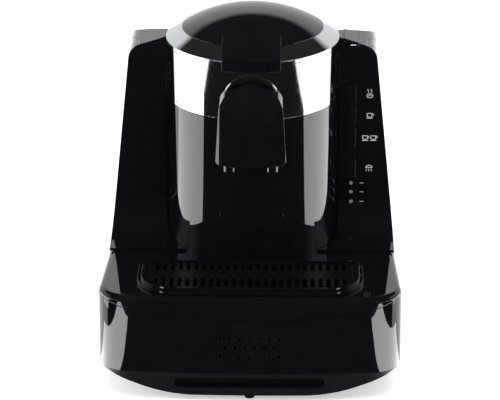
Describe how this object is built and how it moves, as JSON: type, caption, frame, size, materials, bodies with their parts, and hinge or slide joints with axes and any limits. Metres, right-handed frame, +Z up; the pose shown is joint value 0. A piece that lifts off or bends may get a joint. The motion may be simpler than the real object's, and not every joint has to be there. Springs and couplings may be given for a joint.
{
  "type": "electric turkish coffee maker",
  "caption": "Countertop automatic Turkish coffee maker: column with hinged lid and pull-off spout hood, wings with push keys, drip tray, and a lift-out rear water tank.",
  "frame": {"origin": "on the surface it stands on, under the middle of the machine's box", "axes": "+X to the machine's right as seen from its front, +Y from front to back, +Z up"},
  "size_m": [0.2498, 0.2751, 0.2958],
  "materials": {
    "gloss_shell": "polished black ABS",
    "gloss_tray": "polished black ABS",
    "gloss_column": "polished black ABS",
    "gloss_lid": "polished black ABS",
    "gloss_hood": "polished black ABS",
    "gloss_wing": "polished black ABS",
    "gloss_cap": "polished black ABS",
    "gloss_panel": "polished black ABS",
    "moulded_pan": "satin black moulded plastic",
    "foot_rubber": "black rubber",
    "matte_trim": "satin black moulded plastic",
    "tray_grid": "satin black moulded plastic",
    "chrome_band": "bright chrome plate with a thin engraved line pattern",
    "chrome_ring": "bright chrome plate",
    "steel": "stainless steel",
    "cast_aluminium": "cast aluminium",
    "motor_metal": "zinc plated steel",
    "seal_rubber": "grey silicone",
    "inner_plastic": "natural white moulded plastic",
    "key_plastic": "black ABS",
    "light_guide": "clear acrylic",
    "circuit_board": "green glass fibre board",
    "switch_plastic": "black moulded plastic",
    "smoked_tank": "smoked clear plastic"
  },
  "bodies": {
    "housing": {"base_pan": "moulded_pan", "base_shell": "gloss_shell", "bevel_ring": "chrome_ring", "brewing_pot": "steel", "buzzer": "switch_plastic", "cable_gland": "matte_trim", "chrome_band": "chrome_band", "column_shell": "gloss_column", "control_board": "circuit_board", "control_panel": "gloss_panel", "deck_cover": "gloss_shell", "gear_motor": "motor_metal", "heater_plate": "cast_aluminium", "heating_element": "steel", "inner_frame": "inner_plastic", "key_switches": "switch_plastic", "left_front_panel": "gloss_panel", "left_wing_cap": "gloss_cap", "left_wing_shell": "gloss_wing", "lid_hinge_bracket": "gloss_lid", "lid_hinge_pin": "steel", "light_guides": "light_guide", "main_board": "circuit_board", "pot_carrier": "matte_trim", "pot_gasket": "seal_rubber", "right_wing_cap": "gloss_cap", "right_wing_shell": "gloss_wing", "rubber_feet": "foot_rubber", "spout_collar": "chrome_ring", "tank_bay": "matte_trim", "tank_dock": "inner_plastic", "thermostat": "steel", "valve_body": "inner_plastic", "water_pump": "motor_metal"},
    "lid": {"lid": "gloss_lid", "lid_seal": "seal_rubber", "foam_sensor": "matte_trim"},
    "spout": {"spout_hood": "gloss_hood", "spout_nozzles": "gloss_hood", "outlet_seal": "seal_rubber"},
    "tray": {"drip_tray": "gloss_tray"},
    "grid": {"drip_grid": "tray_grid"},
    "tank": {"water_tank": "smoked_tank"},
    "tank_lid": {"tank_lid": "gloss_cap"},
    "float": {"level_float": "inner_plastic"},
    "tank_valve": {"tank_valve": "inner_plastic"},
    "heat_key": {"heat_key": "key_plastic"},
    "one_cup_key": {"one_cup_key": "key_plastic"},
    "two_cup_key": {"two_cup_key": "key_plastic"},
    "clean_key": {"clean_key": "key_plastic"},
    "power_key": {"power_key": "key_plastic"},
    "cam": {"valve_cam": "inner_plastic"},
    "plunger": {"valve_plunger": "steel"}
  },
  "joints": [
    {"name": "lid_hinge", "type": "hinge", "parent": "housing", "child": "lid", "pos_m": [0, 0.079, 0.273], "axis": [-1, 0, 0], "range_deg": [0, 75]},
    {"name": "spout_pull", "type": "slide", "parent": "housing", "child": "spout", "axis": [0, -1, 0], "range_m": [0, 0.03]},
    {"name": "tray_lift", "type": "slide", "parent": "housing", "child": "tray", "axis": [0, 0, 1], "range_m": [0, 0.045]},
    {"name": "grid_lift", "type": "slide", "parent": "tray", "child": "grid", "axis": [0, 0, 1], "range_m": [0, 0.025]},
    {"name": "tank_lift", "type": "slide", "parent": "housing", "child": "tank", "axis": [0, 0, 1], "range_m": [0, 0.12]},
    {"name": "tank_lid_lift", "type": "slide", "parent": "tank", "child": "tank_lid", "axis": [0, 0, 1], "range_m": [0, 0.03]},
    {"name": "float_rise", "type": "slide", "parent": "tank", "child": "float", "axis": [0, 0, 1], "range_m": [0, 0.055]},
    {"name": "tank_valve_close", "type": "slide", "parent": "tank", "child": "tank_valve", "axis": [0, 0, -1], "range_m": [0, 0.003]},
    {"name": "heat_key_push", "type": "slide", "parent": "housing", "child": "heat_key", "axis": [0, 1, 0], "range_m": [0, 0.0012], "stiffness_N_per_m": 400},
    {"name": "one_cup_key_push", "type": "slide", "parent": "housing", "child": "one_cup_key", "axis": [0, 1, 0], "range_m": [0, 0.0012], "stiffness_N_per_m": 400},
    {"name": "two_cup_key_push", "type": "slide", "parent": "housing", "child": "two_cup_key", "axis": [0, 1, 0], "range_m": [0, 0.0012], "stiffness_N_per_m": 400},
    {"name": "clean_key_push", "type": "slide", "parent": "housing", "child": "clean_key", "axis": [0, 1, 0], "range_m": [0, 0.0012], "stiffness_N_per_m": 400},
    {"name": "power_key_push", "type": "slide", "parent": "housing", "child": "power_key", "axis": [0, 0, -1], "range_m": [0, 0.0012], "stiffness_N_per_m": 500},
    {"name": "cam_turn", "type": "hinge", "parent": "housing", "child": "cam", "pos_m": [0, -0.0215, 0.167], "axis": [1, 0, 0], "range_deg": [0, 180]},
    {"name": "plunger_drop", "type": "slide", "parent": "housing", "child": "plunger", "axis": [0, 0, -1], "range_m": [0, 0.003]}
  ],
  "couplings": [
    {"joint": "tank_valve_close", "follows": "tank_lift", "ratio": 0.025},
    {"joint": "cam_turn", "follows": "plunger_drop", "rad_per_m": 1047.2}
  ]
}
